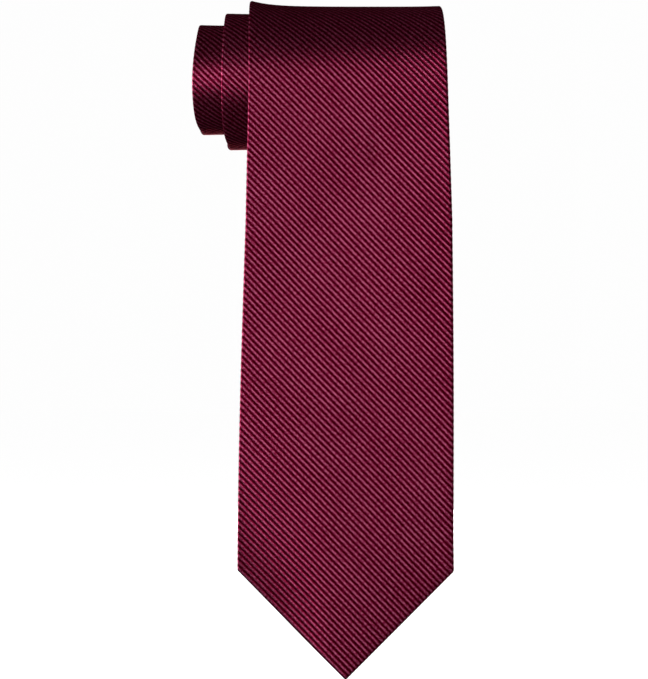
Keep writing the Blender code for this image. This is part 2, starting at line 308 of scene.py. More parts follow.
@dataclass(frozen=True)
class BrushedFelt:
    """Interlining: an undyed wool and viscose cloth, brushed so that its fibres stand up."""

    # To the eye: a dull cream with a blurred grain and no gloss at all.
    light: str = "e4dccb"
    dark: str = "b9ae98"
    fibre: float = 0.8 * MM
    nap: float = 0.15 * MM

    def make(self) -> bpy.types.Material:
        """Makes the material."""
        made, tree, shader = blank("brushed_wool_interlining")
        place = add(tree, "TexCoord").outputs["Object"]
        fibre = add(tree, "TexNoise", Vector=place, Scale=1 / self.fibre, Detail=4.0, Roughness=0.7)
        fibre = fibre.outputs[0]
        ramp = add(tree, "ValToRGB", in0=fibre)
        ramp.color_ramp.elements[0].position, ramp.color_ramp.elements[0].color = 0.3, linear(self.dark)
        ramp.color_ramp.elements[1].position, ramp.color_ramp.elements[1].color = 0.7, linear(self.light)
        tree.links.new(ramp.outputs[0], shader.inputs["Base Color"])
        bump = add(tree, "Bump", Height=fibre, Distance=self.nap, Strength=0.6)
        tree.links.new(bump.outputs[0], shader.inputs["Normal"])
        shader.inputs["Roughness"].default_value = 0.95
        return made


# ---------------------------------------------------------------- the strip


def smooth(t: Array) -> Array:
    """A smooth step from 0 to 1."""
    t = np.clip(t, 0, 1)
    return t * t * (3 - 2 * t)


@dataclass
class StripPath:
    """The line that the made-up tie follows: a straight blade, then a spiral, loose outside, tight inside."""

    hanging: float = 264.4 * MM
    roll_radius: float = 34.85 * MM
    depth_ratio: float = 1.08
    loose_pitch: float = 5.8 * MM
    tight_pitch: float = 2.15 * MM
    leave_angle: float = math.radians(45)
    tight_angle: float = math.radians(760)
    flat_half_angle: float = math.radians(12)  # the rear of the roll, where its radius doesn't shrink
    middle_left: float = -54.8 * MM
    inner_left: float = -68.0 * MM
    shift_start: float = math.radians(110)
    shift_end: float = math.radians(250)
    tie_length: float = 1450 * MM
    blade_half: float = 47.75 * MM
    tail_half: float = 24.5 * MM
    turn_rise: float = 2.0 * MM
    inner_rise_share: float = 0.15
    turns_start: float = 3.5  # radians; past here the turns bulge a little and sit a little higher
    inner_turns_start: float = 9.8
    bow: float = 1.0 * MM
    tuck: float = 0.9 * MM
    pinch: float = 1.5 * MM
    uneven: float = 0.5 * MM
    ear: float = 0.4 * MM
    flare: float = 2.5 * MM
    crown: float = 0.35 * MM
    ripple: float = 0.16 * MM
    dent: float = 0.95 * MM
    dent_place: tuple = (6 * MM, 233 * MM)
    dent_size: tuple = (4 * MM, 11 * MM)
    shoulder: float = 2.0 * MM
    shoulder_place: float = 262 * MM
    shoulder_length: float = 20 * MM
    curl: float = 4.6 * MM
    # distance from the blade's tip, and half the width there
    knots: tuple = (
        (47.75 * MM, 47.75 * MM),
        (130 * MM, 46.9 * MM),
        (195 * MM, 45.6 * MM),
        (264 * MM, 43.9 * MM),
        (330 * MM, 43.0 * MM),
        (800 * MM, 18.5 * MM),
        (980 * MM, 17.0 * MM),
        (1425.5 * MM, 24.5 * MM),
    )
    # distance from the blade's tip, and how far the strip sways sideways there, in millimetres
    sway: tuple = ((0, -0.6), (60, -0.7), (130, 0.1), (200, 0.9), (260, 0.6), (310, -0.3), (380, 0))
    table: dict = field(init=False)
    axis: tuple = field(init=False)
    widths: tuple = field(init=False)

    def __post_init__(self) -> None:
        """Works out the spiral, and the body's half width along it."""
        angle = np.linspace(0, 13 * TURN, 60001)  # more turns than the spiral has, in fine steps
        pitch = self.loose_pitch * np.clip(angle / self.leave_angle, 0, 1)
        pitch = np.where(angle < self.tight_angle, pitch, self.tight_pitch)
        pitch = np.where(np.abs(angle - math.pi) < self.flat_half_angle, 0, pitch)
        step = angle[1] - angle[0]
        radius = self.roll_radius - np.concatenate([[0], np.cumsum(pitch[:-1] * step / TURN)])
        angle, radius = angle[radius > 1 * MM], radius[radius > 1 * MM]
        depth, height = -self.depth_ratio * radius * np.cos(angle), radius * np.sin(angle)
        steps = np.hypot(np.diff(depth), np.diff(height))
        along = self.hanging + np.concatenate([[0], np.cumsum(steps)])
        self.table = {"angle": angle, "along": along, "y": depth, "z": height}
        self.table |= {"ty": np.gradient(depth, along), "tz": np.gradient(height, along)}
        axis_y = BLADE_FACE_Y + self.depth_ratio * self.roll_radius
        self.axis = (axis_y, ROLL_AXIS_Z)
        self.widths = self.width_curve()

    def width_curve(self) -> tuple[Array, Array]:
        """Draws one smooth curve through the widths' knots.

        Returns:
            Distances from the blade's tip, and half the width at each.
        """
        at, half = (np.array(c) for c in zip(*self.knots))
        slope = np.gradient(half, at)
        s = np.linspace(at[0], at[-1], 4001)
        i = np.clip(np.searchsorted(at, s) - 1, 0, len(at) - 2)
        span = at[i + 1] - at[i]
        t = np.clip((s - at[i]) / span, 0, 1)
        body = (2 * t**3 - 3 * t**2 + 1) * half[i] + (t**3 - 2 * t**2 + t) * span * slope[i]
        body += (3 * t**2 - 2 * t**3) * half[i + 1] + (t**3 - t**2) * span * slope[i + 1]
        return s, body

    def half(self, s: Array) -> Array:
        """Half the tie's width, without its points."""
        return np.interp(s, *self.widths)

    def angle(self, s: Array) -> Array:
        """How far the strip has turned at a distance from the blade's tip."""
        return np.interp(s, self.table["along"], self.table["angle"])

    def distance(self, degrees: float) -> float:
        """Distance from the blade's tip where the strip has turned by this angle."""
        return float(np.interp(math.radians(degrees), self.table["angle"], self.table["along"]))

    def middle(self, s: Array) -> Array:
        """Sideways place of the strip's middle: the turns step out to the left behind the roll."""
        angle, half = self.angle(s), self.half(s)
        span = self.shift_end - self.shift_start
        first = smooth((angle - self.shift_start) / span)
        second = smooth((angle - TURN - self.shift_start) / span)
        left = self.middle_left + second * (self.inner_left - self.middle_left)
        lean_back = np.sin(angle + math.radians(18)) ** 2
        stepped = smooth((angle - self.turns_start) / 1.5) + smooth((angle - 1.6 * TURN) / 1.2)
        bulge = self.bow * lean_back * stepped - self.tuck * first
        underside = np.exp(-16 * (1 + np.sin(angle))) * smooth(angle - self.turns_start)
        bulge = bulge + self.pinch * underside
        uneven = self.uneven * np.sin(0.83 * angle) * smooth((angle - 2.3 * TURN) / 1.5)
        at, by = zip(*self.sway)
        lean = np.interp(s, np.array(at) * MM, np.array(by) * MM)
        return first * (left + half) + bulge + uneven + lean

    def wander(self, s: Array, across: Array) -> Array:
        """How far the soft cloth stands out from the ideal line, in metres.

        Args:
            s: Distance from the blade's tip.
            across: Distance from the strip's middle, positive to the right.

        Returns:
            Distances outwards.
        """
        angle, half = self.angle(s), self.half(s)
        bent = smooth(angle / math.radians(50)) * (0.35 + 0.65 * np.sin(angle) ** 2)
        outer = smooth((math.radians(200) - angle) / 0.6)
        left = np.exp(-(half + across) / (9 * MM)) * (self.ear + self.flare * outer)
        right = np.exp(-(half - across) / (6 * MM)) * self.ear * outer
        ears = bent * (left + right) * smooth((3.2 * TURN - angle) / 3)
        hang = smooth((self.hanging + 20 * MM - s) / (60 * MM))
        ripple = np.sin(s / (31 * MM) + 40 * across) + 0.6 * np.sin(s / (17 * MM) - across / (21 * MM))
        crown = self.crown * (1 - (across / half) ** 2)
        (dent_x, dent_s), (wide, long) = self.dent_place, self.dent_size
        dent = self.dent * np.exp(-(((across - dent_x) / wide) ** 2) - ((s - dent_s) / long) ** 2)
        bend = np.exp(-(((s - self.shoulder_place) / self.shoulder_length) ** 2))
        shoulder = self.shoulder * (0.5 + 0.5 * across / half) ** 2 * bend
        curl = self.curl * self.hanging_corner(s, across) ** 1.5
        return ears - shoulder + hang * (self.ripple * ripple + crown - dent - curl)

    @staticmethod
    def hanging_corner(s: Array, across: Array) -> Array:
        """How near a place is to the blade's left corner, from 0 to 1.2, where the cloth curls back."""
        low = np.clip((110 * MM - s) / (70 * MM), 0, 1.2)
        return np.clip(low * np.clip((-across - 8 * MM) / (36 * MM), 0, 1.2), 0, 1.2)

    def place(self, s: Array, across: Array, below: Array) -> Array:
        """Points of the tie in the row frame.

        Args:
            s: Distance from the blade's tip.
            across: Distance from the strip's middle.
            below: Depth under the face.

        Returns:
            Points, one in each row.
        """
        t = self.table
        wound = s > self.hanging
        y = np.where(wound, np.interp(s, t["along"], t["y"]), t["y"][0])
        z = np.where(wound, np.interp(s, t["along"], t["z"]), s - self.hanging)
        ty = np.where(wound, np.interp(s, t["along"], t["ty"]), 0.0)
        tz = np.where(wound, np.interp(s, t["along"], t["tz"]), 1.0)
        size = np.hypot(ty, tz)
        out = self.wander(s, across) - below
        turned = self.angle(s)
        steps = smooth((turned - self.turns_start) / 2.1)
        steps = steps + self.inner_rise_share * smooth((turned - self.inner_turns_start) / 2.1)
        rise = self.turn_rise * steps
        return np.stack([
            self.middle(s) + across,
            self.axis[0] + y - tz / size * out,
            self.axis[1] + z + ty / size * out + rise,
        ], axis=-1)


@dataclass
class FoldedCloth:
    """How the flat cloth folds round the interlining: rolled edges, back flaps, and hems at both points."""

    path: StripPath
    thick: float = 1.8 * MM
    roll: float = 0.9 * MM
    slot: float = 0.1 * MM
    under_roll: float = 0.2 * MM
    under: float = 1.6 * MM
    hem: float = 10 * MM
    tip_over: float = 2.9 * MM
    blade_meet: float = 112 * MM
    tail_meet: float = 1378 * MM
    flap_slope: float = 0.58
    overlap: float = 0.02 * MM

    def flap_edge(self, s: Array) -> Array:
        """Distance of each flap's inner edge from the middle of the back."""
        blade = (self.blade_meet - s) * self.flap_slope
        tail = (s - self.tail_meet) * self.flap_slope
        return np.maximum(self.slot, np.maximum(blade, tail))

    def outside(self, p: Array, q: Array) -> dict[str, Array]:
        """How far a place in the flat cloth lies beyond the edges that it folds over.

        Args:
            p: Across the flat cloth.
            q: Along the flat cloth.

        Returns:
            Distances beyond the long edge (side) and the pointed edge (point), the larger of the two (far),
            and whether the pointed edge is the one that counts (pointed).
        """
        across = np.abs(p)
        ends = np.minimum(q, self.path.tie_length - q)
        side = across - self.path.half(q)
        point = (across - ends - self.tip_over) / ROOT2
        return {"side": side, "point": point, "far": np.maximum(side, point), "pointed": point > side}

    def section(self, far: Array, room: Array) -> tuple[Array, Array]:
        """The folded section: face, rolled edge, back, and the edge turned under.

        Args:
            far: Distance in the cloth beyond the edge.
            room: Distance from the edge to the flap's inner edge.

        Returns:
            Place beyond the edge, and depth under the face.
        """
        arc = math.pi * self.roll
        bend = np.clip(far + self.roll, 0, arc) / self.roll
        sideways = np.where(far < -self.roll, far, -self.roll + self.roll * np.sin(bend))
        depth = self.roll * (1 - np.cos(bend)) * self.thick / (2 * self.roll)
        back = np.clip(far + self.roll - arc, 0, None)
        limit = np.maximum(room - self.roll - self.under_roll, 0)
        sideways = sideways - np.minimum(back, limit)
        past = np.clip(back - limit, 0, None)
        turned = np.clip(past / self.under_roll, 0, math.pi)
        sideways = sideways - self.under_roll * np.sin(turned)
        sideways = sideways + np.clip(past - math.pi * self.under_roll, 0, None)
        return sideways, depth - self.under_roll * (1 - np.cos(turned))

    def room(self, q: Array, pointed: Array) -> Array:
        """Width of cloth that is turned to the back."""
        return np.where(pointed, self.hem, self.path.half(q) - self.flap_edge(q))

    def inside(self, p: Array, q: Array) -> Array:
        """Whether a place is in the flat cloth, with the corners cut out so that the hems mitre."""
        d = self.outside(p, q)
        path = self.path
        ends = np.minimum(q, path.tie_length - q)
        half = path.half(q)
        back = d["far"] - (math.pi - 1) * self.roll
        mitre = np.clip(back, 0, None) * math.tan(math.radians(22.5))
        corner = np.where(q < path.tie_length / 2, path.blade_half, path.tail_half) - self.tip_over
        foot = np.abs(p) - d["point"] / ROOT2
        along_side = ends - corner >= mitre
        along_point = (corner + self.tip_over - foot) * ROOT2 >= mitre
        along_point &= foot >= (np.clip(back, 0, None) + self.roll * (back > 0)) / ROOT2 - self.overlap
        whole = np.where(d["pointed"], along_point, along_side) | (d["far"] <= 0)
        room = self.room(q, d["pointed"])
        flat = room - self.roll - self.under_roll
        return whole & (back <= flat + math.pi * self.under_roll + np.minimum(self.under, 0.4 * half))

    def points(self, p: Array, q: Array) -> Array:
        """Where places in the flat cloth lie once it is folded and rolled.

        Args:
            p: Across the flat cloth.
            q: Along the flat cloth.

        Returns:
            Points in the row frame.
        """
        d = self.outside(p, q)
        sideways, depth = self.section(d["far"], self.room(q, d["pointed"]))
        sign = np.where(p < 0, -1.0, 1.0)
        toward = np.where(q < self.path.tie_length / 2, 1.0, -1.0)
        foot_across = np.abs(p) - d["point"] / ROOT2
        foot_along = q + toward * d["point"] / ROOT2
        across = np.where(d["pointed"], foot_across + sideways / ROOT2, self.path.half(q) + sideways)
        along = np.where(d["pointed"], foot_along - toward * sideways / ROOT2, q)
        flat = d["far"] < -self.roll
        across, along = np.where(flat, np.abs(p), across), np.where(flat, q, along)
        return self.path.place(along, sign * across, depth)


def make_object(
    name: str, points: Array, faces: Array, uv: Array | None, look: bpy.types.Material
) -> bpy.types.Object:
    """Makes a smooth mesh object from arrays.

    Args:
        name: The piece's name.
        points: Its vertices, one in each row.
        faces: Its quads, as rows of four vertex numbers.
        uv: A place in the flat cloth for each vertex, in metres.
        look: Its material.

    Returns:
        The new object, at the origin.
    """
    mesh = bpy.data.meshes.new(name)
    mesh.from_pydata(points.tolist(), [], faces.tolist())
    if uv is not None:
        layer = mesh.uv_layers.new(name="cloth")
        corner = np.zeros(len(mesh.loops), np.int32)
        mesh.loops.foreach_get("vertex_index", corner)
        layer.data.foreach_set("uv", uv[corner].astype(np.float32).ravel())
    mesh.materials.append(look)
    made = bpy.data.objects.new(name, mesh)
    bpy.context.scene.collection.objects.link(made)
    shape = bmesh.new()
    shape.from_mesh(mesh)
    bmesh.ops.remove_doubles(shape, verts=shape.verts, dist=0.004 * MM)
    bmesh.ops.dissolve_degenerate(shape, edges=shape.edges, dist=0.002 * MM)
    shape.to_mesh(mesh)
    shape.free()
    mesh.shade_smooth()
    return made


def face_outwards(piece: bpy.types.Object) -> None:
    """Turns the faces of a closed piece outwards."""
    shape = bmesh.new()
    shape.from_mesh(piece.data)
    bmesh.ops.recalc_face_normals(shape, faces=shape.faces)
    shape.to_mesh(piece.data)
    shape.free()


def grid_faces(rows: int, columns: int, closed: bool = False) -> Array:
    """Quads of a grid of points, with its last column joined to its first if closed."""
    wide = columns if closed else columns - 1
    r, c = np.meshgrid(np.arange(rows - 1), np.arange(wide), indexing="ij")
    near, far = r * columns, (r + 1) * columns
    n = (c + 1) % columns
    return np.stack([near + c, near + n, far + n, far + c], axis=-1).reshape(-1, 4)


class Block(Enum):
    """The parts of a stretch of flat cloth that are laid out in rows of their own."""

    BODY = "the face and what a row crosses from it"
    LEFT_FLAP = "the left flap, where it runs on beside the point"
    LEFT_HEM = "the hem of the left pointed edge, which lies along the ribs"


class Way(Enum):
    """How a stretch of the tie follows the bodies."""

    RIDE = "rides on one body"
    BLEND = "bends between two"


@dataclass
class Stretch:
    """One stretch of the tie, with the bodies that it rides on or is marked to bend between, and the nodes
    that its layers stand for.
    """

    name: str
    start: float
    end: float
    way: Way
    bodies: tuple
    zone: tuple = ()
    shell: tuple = ()
    interlining: tuple = ()
    stitch: tuple = ()
    relief: float = 1.0

    def follow(self, piece: bpy.types.Object) -> None:
        """Attaches a piece of a stretch that rides on one body to that body, and bakes a piece of a bending
        stretch in place.
        """
        if self.way is Way.RIDE:
            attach(piece, self.bodies[0])
        else:
            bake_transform(piece)


@dataclass
class StripLayers:
    """Builds the cloth shell, the interlining and the slip stitch of each stretch."""

    cloth: FoldedCloth
    weave: ReppWeave
    repp: bpy.types.Material
    felt: bpy.types.Material
    thread: bpy.types.Material
    rows_per_rib: int = 6
    face_columns: int = 30
    arc_columns: int = 8
    flap_columns: int = 20
    edge_columns: int = 9
    edge_width: float = 2.8 * MM
    felt_depths: tuple = (0.7 * MM, 1.05 * MM)
    felt_inset: float = 1.6 * MM
    felt_columns: int = 9
    felt_step: float = 2.5 * MM
    stitch_step: float = 0.55 * MM
    stitch_length: float = 15 * MM
    stitch_swing: float = 1.25 * MM
    thread_radius: float = 0.2 * MM
    seam: tuple = (116 * MM, 1371 * MM)

    def rows(self, stretch: Stretch, block: Block) -> tuple[Array, Array, float]:
        """Lays rows along the ribs of a stretch of flat cloth.

        Args:
            stretch: The stretch.
            block: Which part of it.

        Returns:
            Places across and along the cloth, as rows by columns, and the cloth's flat area.
        """
        step = self.weave.pitch * ROOT2 / self.rows_per_rib
        widest = float(self.cloth.path.half(np.array([stretch.start, stretch.end])).max())
        reach = 2.1 * widest + 4 * MM
        first = math.floor((stretch.start - reach) / step)
        last = math.ceil((stretch.end + reach) / step)
        c = np.arange(first, last + 1) * step
        edge = -self.cloth.tip_over
        if block is Block.BODY:
            c = np.concatenate([[edge], c[c > edge]]) if stretch.start < 0 else c
        else:
            c = np.concatenate([c[c < edge], [edge - 0.001 * MM]])
        c = c[:, None]
        p = np.linspace(-reach, reach, 2401)[None, :]

        def within(p: Array) -> Array:
            """Whether places on the rows are in this part of the stretch."""
            q = c - p
            found = (q >= stretch.start) & (q <= stretch.end) & self.cloth.inside(p, q)
            if block is Block.LEFT_FLAP:
                found &= ~self.cloth.outside(p, q)["pointed"]
            elif block is Block.LEFT_HEM:
                found &= self.cloth.outside(p, q)["pointed"]
            return found

        found = within(p)
        kept = found.any(axis=1)
        c, found = c[kept], found[kept]
        low = p[0, found.argmax(axis=1)][:, None]
        high = p[0, found.shape[1] - 1 - found[:, ::-1].argmax(axis=1)][:, None]
        gap = p[0, 1] - p[0, 0]
        for sign, ends in ((-1, low), (1, high)):
            beyond = ends + sign * gap
            for _ in range(14):
                half_way = (ends + beyond) / 2
                good = within(half_way)
                ends[:] = np.where(good, half_way, ends)
                beyond = np.where(good, beyond, half_way)
        spare = 0.2 * MM
        levels = (-self.cloth.roll - spare, (math.pi - 1) * self.cloth.roll + spare)
        right = np.where(p < 0, -1.0, self.cloth.outside(np.abs(p), c - p)["far"])
        left = np.where(p > 0, -1.0, -p - self.cloth.path.half(c - p))
        breaks = [low, np.minimum(low + self.edge_width, high)]
        breaks += [self.crossing(p, left, level, True) for level in levels[::-1]]
        breaks += [self.crossing(p, right, level, False) for level in levels]
        breaks += [high - self.edge_width, high]
        placed = [np.clip(b, low, high) for b in breaks]
        for i in range(1, len(placed)):
            placed[i] = np.maximum(placed[i], placed[i - 1])
        half_counts = (self.edge_columns, self.flap_columns, self.arc_columns)
        counts = (*half_counts, self.face_columns, *half_counts[::-1])
        columns = [placed[0]]
        for a, b, n in zip(placed, placed[1:], counts):
            columns += [a + (b - a) * k / n for k in range(1, n + 1)]
        across = np.concatenate(columns, axis=1)
        return across, c - across, float((high - low).sum() * step)

    @staticmethod
    def crossing(p: Array, far: Array, level: float, falling: bool) -> Array:
        """Where each row crosses a level of its distance beyond an edge."""
        above = far > level
        index = above.sum(axis=1) if falling else far.shape[1] - above.sum(axis=1)
        index = np.clip(index, 1, far.shape[1] - 1)
        row = np.arange(len(far))
        a, b = far[row, index - 1], far[row, index]
        share = np.clip((level - a) / np.where(np.abs(b - a) < 1e-12, 1, b - a), 0, 1)
        return (p[0, index - 1] + share * (p[0, index] - p[0, index - 1]))[:, None]

    def ribbed(self, p: Array, q: Array, relief: float) -> Array:
        """Points of the folded cloth with its ribs raised.

        Args:
            p: Places across the flat cloth, as rows by columns.
            q: Places along it.
            relief: Share of the ribs' full height.

        Returns:
            Points in the row frame.
        """
        eps = 0.03 * MM
        by_p = self.cloth.points(p + eps, q) - self.cloth.points(p - eps, q)
        by_q = self.cloth.points(p, q + eps) - self.cloth.points(p, q - eps)
        normal = np.cross(by_p, by_q)
        normal /= np.maximum(np.linalg.norm(normal, axis=-1, keepdims=True), 1e-12)
        beyond = self.cloth.outside(p, q)["far"] / self.cloth.roll
        on_edge = np.exp(-((beyond - 0.57) ** 2) / 2)
        in_corner = self.cloth.path.hanging_corner(q, p)
        height = self.weave.height(p, q) * relief * (1 - 0.62 * on_edge) * (1 - 0.45 * in_corner)
        return self.cloth.points(p, q) + normal * height[..., None]

    def shell(self, stretch: Stretch) -> bpy.types.Object:
        """Builds a stretch of the outer cloth, with its ribs."""
        points, places, faces, area, count = [], [], [], 0.0, 0
        for block in Block if stretch.start < 0 else [Block.BODY]:
            p, q, part = self.rows(stretch, block)
            points.append(self.ribbed(p, q, stretch.relief).reshape(-1, 3))
            places.append(np.stack([p, q], axis=-1).reshape(-1, 2))
            faces.append(grid_faces(*p.shape)[:, ::-1] + count)
            area, count = area + part, count + p.size
        uv = np.concatenate(places)
        name = f"{stretch.name}_cloth"
        piece = make_object(name, np.concatenate(points), np.concatenate(faces), uv, self.repp)
        if stretch.shell:
            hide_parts(*stretch.shell)
        return piece

    def interlining(self, stretch: Stretch) -> bpy.types.Object:
        """Builds a stretch of the felt inside the fold."""
        path, step = self.cloth.path, self.felt_step
        low, high = max(stretch.start, step), min(stretch.end, path.tie_length - step)
        rows = max(int((high - low) / step), 8)
        s = np.linspace(low, high, rows)[:, None]
        ends = np.minimum(s, path.tie_length - s) + self.cloth.tip_over
        half = np.minimum(path.half(s), ends) - self.felt_inset
        across = np.linspace(-1, 1, self.felt_columns)
        ring_across = np.concatenate([across, across[::-1]])[None, :] * half
        ring_depth = np.repeat(self.felt_depths, self.felt_columns)[None, :] + 0 * s
        points = path.place(s + 0 * ring_across, ring_across, ring_depth)
        ring = 2 * self.felt_columns
        last = (rows - 1) * ring
        ends_of_felt = []
        for k in range(self.felt_columns - 1):
            ends_of_felt.append([k, k + 1, ring - 2 - k, ring - 1 - k])
            ends_of_felt.append([last + ring - 1 - k, last + ring - 2 - k, last + k + 1, last + k])
        faces = np.concatenate([grid_faces(rows, ring, closed=True)[:, ::-1], np.array(ends_of_felt)])
        piece = make_object(f"{stretch.name}_felt", points.reshape(-1, 3), faces, None, self.felt)
        if stretch.interlining:
            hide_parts(*stretch.interlining)
        return piece

    def slip_stitch(self, stretch: Stretch, low: float, high: float) -> bpy.types.Object:
        """Builds a stretch of the thread that draws the two flaps together down the back."""
        s = np.linspace(low, high, max(int((high - low) / self.stitch_step), 12))
        phase = TURN * s / self.stitch_length
        across = self.stitch_swing * np.sin(phase)
        depth = self.cloth.thick + 0.02 * MM + 0.3 * MM * np.cos(2 * phase)
        line = self.cloth.path.place(s, across, depth)
        piece = tube(f"{stretch.name}_slip_thread", line, self.thread_radius, self.thread)
        if stretch.stitch:
            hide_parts(*stretch.stitch)
        return piece

    def build(self, parts: list[Stretch]) -> list[bpy.types.Object]:
        """Builds every layer of every stretch, attaches each layer of a riding stretch to its body and bakes
        the others in place.
        """
        made = []
        for part in parts:
            layers = [self.shell(part), self.interlining(part)]
            low, high = max(part.start, self.seam[0]), min(part.end, self.seam[1])
            if high > low:
                layers.append(self.slip_stitch(part, low, high))
            for piece in layers:
                part.follow(piece)
            made += layers
        return made


def tube(
    name: str, line: Array, radius: float, look: bpy.types.Material, sides: int = 6
) -> bpy.types.Object:
    """Makes a closed tube along a line.

    Args:
        name: The piece's name.
        line: Points along its middle.
        radius: Its radius.
        look: Its material.
        sides: How many sides it has.

    Returns:
        The new object.
    """
    ahead = np.gradient(line, axis=0)
    ahead /= np.linalg.norm(ahead, axis=1, keepdims=True)
    side = np.cross(ahead, np.array([0.37, 0.61, 0.7]))  # only sets where each ring starts
    side /= np.linalg.norm(side, axis=1, keepdims=True)
    up = np.cross(ahead, side)
    turn = np.arange(sides) * TURN / sides
    ring = np.cos(turn)[None, :, None] * side[:, None] + np.sin(turn)[None, :, None] * up[:, None]
    size = np.full(len(line), radius)
    size[[0, -1]] *= 0.35
    points = (line[:, None] + ring * size[:, None, None]).reshape(-1, 3)
    ends = np.array([line[0] - ahead[0] * radius * 0.5, line[-1] + ahead[-1] * radius * 0.5])
    faces = grid_faces(len(line), sides, closed=True).tolist()
    first, last, base = len(points), len(points) + 1, len(points) - sides
    faces += [[first, (k + 1) % sides, k] for k in range(sides)]
    faces += [[last, base + k, base + (k + 1) % sides] for k in range(sides)]
    mesh = bpy.data.meshes.new(name)
    mesh.from_pydata(np.concatenate([points, ends]).tolist(), [], faces)
    mesh.materials.append(look)
    mesh.shade_smooth()
    made = bpy.data.objects.new(name, mesh)
    bpy.context.scene.collection.objects.link(made)
    return made


# ---------------------------------------------------------------- what is sewn on the back


@dataclass
class Trimmings:
    """The tipping, labels, keeper loop and tacks."""

    cloth: FoldedCloth
    weave: ReppWeave
    repp: bpy.types.Material
    satin: bpy.types.Material
    thread: bpy.types.Material
    label: bpy.types.Material
    care: bpy.types.Material
    satin_thick: float = 0.15 * MM
    satin_depth: float = 0.55 * MM
    satin_under: float = 2.2 * MM
    satin_puff: float = 0.22 * MM
    label_thick: float = 0.3 * MM
    label_rise: float = 0.45 * MM
    label_hem: float = 0.18 * MM
    ribbon_thick: float = 0.2 * MM
    ribbon_curl: float = 1.3 * MM
    ribbon_twist: float = 0.9 * MM
    keeper_wall: float = 0.42 * MM
    keeper_bow: float = 1.15 * MM
    keeper_relief: float = 0.8
    tack_pitch: float = 0.42 * MM
    tack_lift: float = 0.22 * MM
    tack_radius: float = 0.17 * MM
    loop_radius: float = 0.24 * MM

    def over_box(self, node: str, rows: int, columns: int) -> tuple[Array, Array, Array, Array]:
        """Lays a grid over a CAD piece on the blade's back.

        Args:
            node: The CAD piece.
            rows: Rows of the grid, from the piece's lower edge up.
            columns: Columns of the grid, from left to right.

        Returns:
            Distances from the tip, sideways places, and the shares of the piece's height and width there.
        """
        low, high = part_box(node)
        up = np.linspace(0, 1, rows)[:, None] + np.zeros((1, columns))
        over = np.linspace(0, 1, columns)[None, :] + 0 * up
        s = low.z + self.cloth.path.hanging + up * (high.z - low.z)
        return s, low.x + over * (high.x - low.x), up, over

    def sheet_patch(
        self, name: str, s: Array, across: Array, depth: Array, thick: float, look: bpy.types.Material
    ) -> bpy.types.Object:
        """Builds a thin closed sheet over a grid of places on the tie's back.

        Args:
            name: The piece's name.
            s: Distances from the tip, as rows by columns.
            across: Distances from the middle, in the same grid.
            depth: Depth of the sheet's near side under the tie's face.
            thick: The sheet's thickness.
            look: Its material.

        Returns:
            The new object.
        """
        rows, columns = s.shape
        near = self.cloth.path.place(s, across, depth)
        far = self.cloth.path.place(s, across, depth + thick)
        points = np.concatenate([near.reshape(-1, 3), far.reshape(-1, 3)])
        flat = np.stack([across, s], axis=-1).reshape(-1, 2)
        grid = grid_faces(rows, columns)
        count = rows * columns
        rim = list(range(columns))
        rim += [r * columns + columns - 1 for r in range(1, rows)]
        rim += [(rows - 1) * columns + k for k in range(columns - 2, -1, -1)]
        rim += [r * columns for r in range(rows - 2, 0, -1)]
        walls = [[a, b, b + count, a + count] for a, b in zip(rim, rim[1:] + rim[:1])]
        faces = np.concatenate([grid[:, ::-1], grid + count, np.array(walls)])
        piece = make_object(name, points, faces, np.concatenate([flat, flat]), look)
        face_outwards(piece)
        return piece

    def tipping(self, name: str, node: str, low: float, high: float, tail: bool) -> bpy.types.Object:
        """Builds the satin lining in the opening at the back of an end.

        Args:
            name: The piece's name.
            node: The node that it stands for.
            low: Where it starts, as a distance from the blade's tip.
            high: Where it ends.
            tail: Whether it is at the narrow end.

        Returns:
            The new object.
        """
        path = self.cloth.path
        s = np.linspace(low, high, 46)[:, None] + np.zeros((1, 25))
        ends = (path.tie_length - s if tail else s) - 8 * MM
        under_flaps = self.cloth.flap_edge(s) + self.satin_under
        half = np.clip(np.minimum(ends, under_flaps), 0.4 * MM, path.half(s) - 4 * MM)
        share = np.linspace(-1, 1, 25)[None, :]
        across = share * half
        puff = self.satin_puff * (1 - share**2) * np.sin(s / (9 * MM)) ** 2
        depth = self.cloth.thick - self.satin_depth + puff
        piece = self.sheet_patch(name, s, across, depth, self.satin_thick, self.satin)
        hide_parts(node)
        return piece

    def maker_label(self) -> bpy.types.Object:
        """Builds the blank woven label, sewn down at both ends."""
        s, x, _, over = self.over_box("maker_label", 30, 81)
        rise = self.label_rise * np.sin(math.pi * over) ** 0.4 * (1 + 0.3 * np.sin(5 * over + s / (7 * MM)))
        hems = self.label_hem * (np.abs(np.abs(2 * over - 1) - 0.94) < 0.05)
        across = x - self.cloth.path.middle(s)
        depth = self.cloth.thick + 0.22 * MM + rise + hems
        piece = self.sheet_patch("maker_label_cloth", s, across, depth, self.label_thick, self.label)
        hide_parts("maker_label")
        return piece

    def care_label(self) -> bpy.types.Object:
        """Builds the small ribbon label, sewn along its top edge."""
        s, x, up, over = self.over_box("care_label", 36, 28)
        down, side = 1 - up, over - 0.5
        curl = self.ribbon_curl * down**2 * (1 + 0.8 * side) + self.ribbon_twist * (side * down) ** 2
        across = x - self.cloth.path.middle(s)
        depth = self.cloth.thick + 0.3 * MM + curl
        piece = self.sheet_patch("care_label_ribbon", s, across, depth, self.ribbon_thick, self.care)
        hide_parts("care_label")
        return piece

